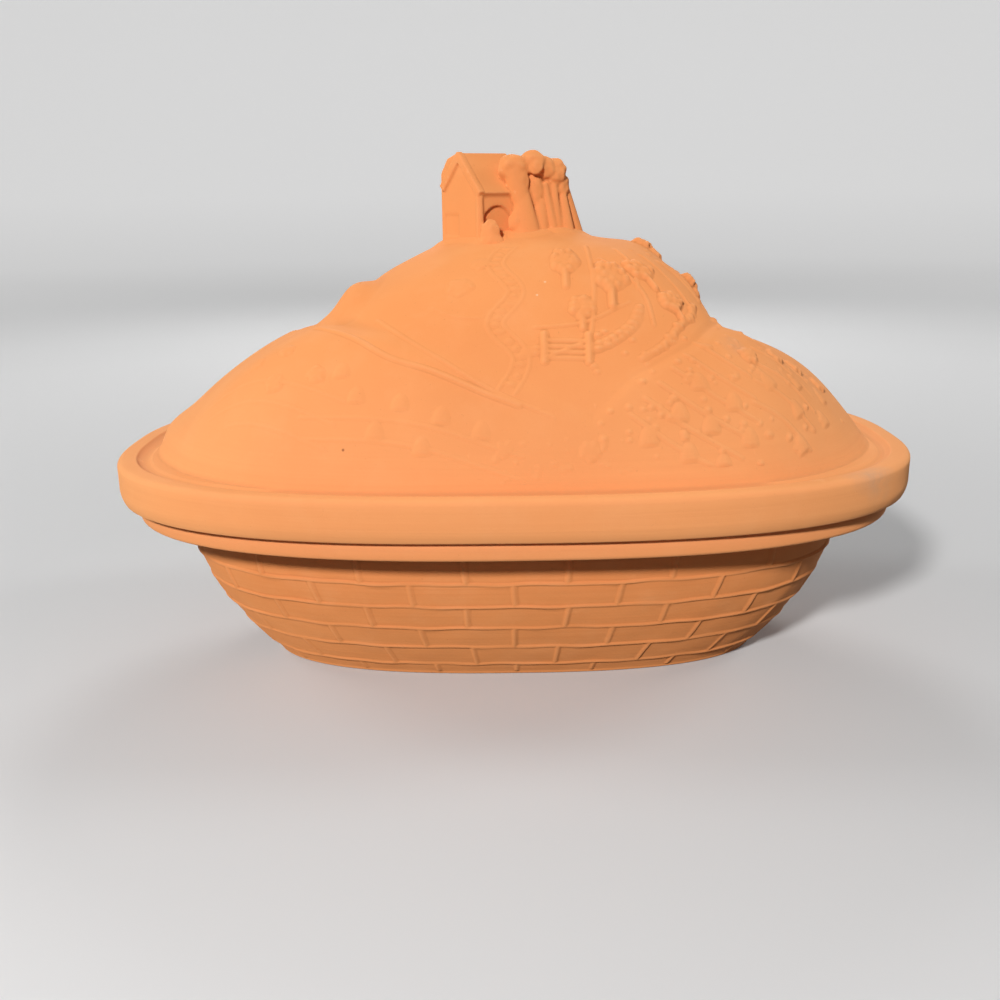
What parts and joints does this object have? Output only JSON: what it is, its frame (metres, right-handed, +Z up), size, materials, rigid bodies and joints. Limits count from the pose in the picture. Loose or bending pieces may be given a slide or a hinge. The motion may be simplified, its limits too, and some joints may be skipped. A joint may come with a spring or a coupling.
{
  "type": "clay baker",
  "caption": "Oval unglazed clay baker: a brick-patterned dish under a hollow lid shaped as a hillside, with a cottage and trees as its knob.",
  "frame": {"origin": "middle of the dish's flat foot, on the surface that it stands on", "axes": "+X along the long way of the oval, to the right as seen from the front; +Y towards the back; +Z up, the way the lid lifts off"},
  "size_m": [0.344, 0.236, 0.2181],
  "materials": {
    "dish_clay": "unglazed matt earthenware",
    "lid_clay": "unglazed matt earthenware"
  },
  "bodies": {
    "dish": {"dish": "dish_clay"},
    "lid": {"lid": "lid_clay"}
  },
  "joints": [
    {"name": "lid_lift", "type": "slide", "parent": "dish", "child": "lid", "axis": [0, 0, 1], "range_m": [0, 0.15]}
  ]
}
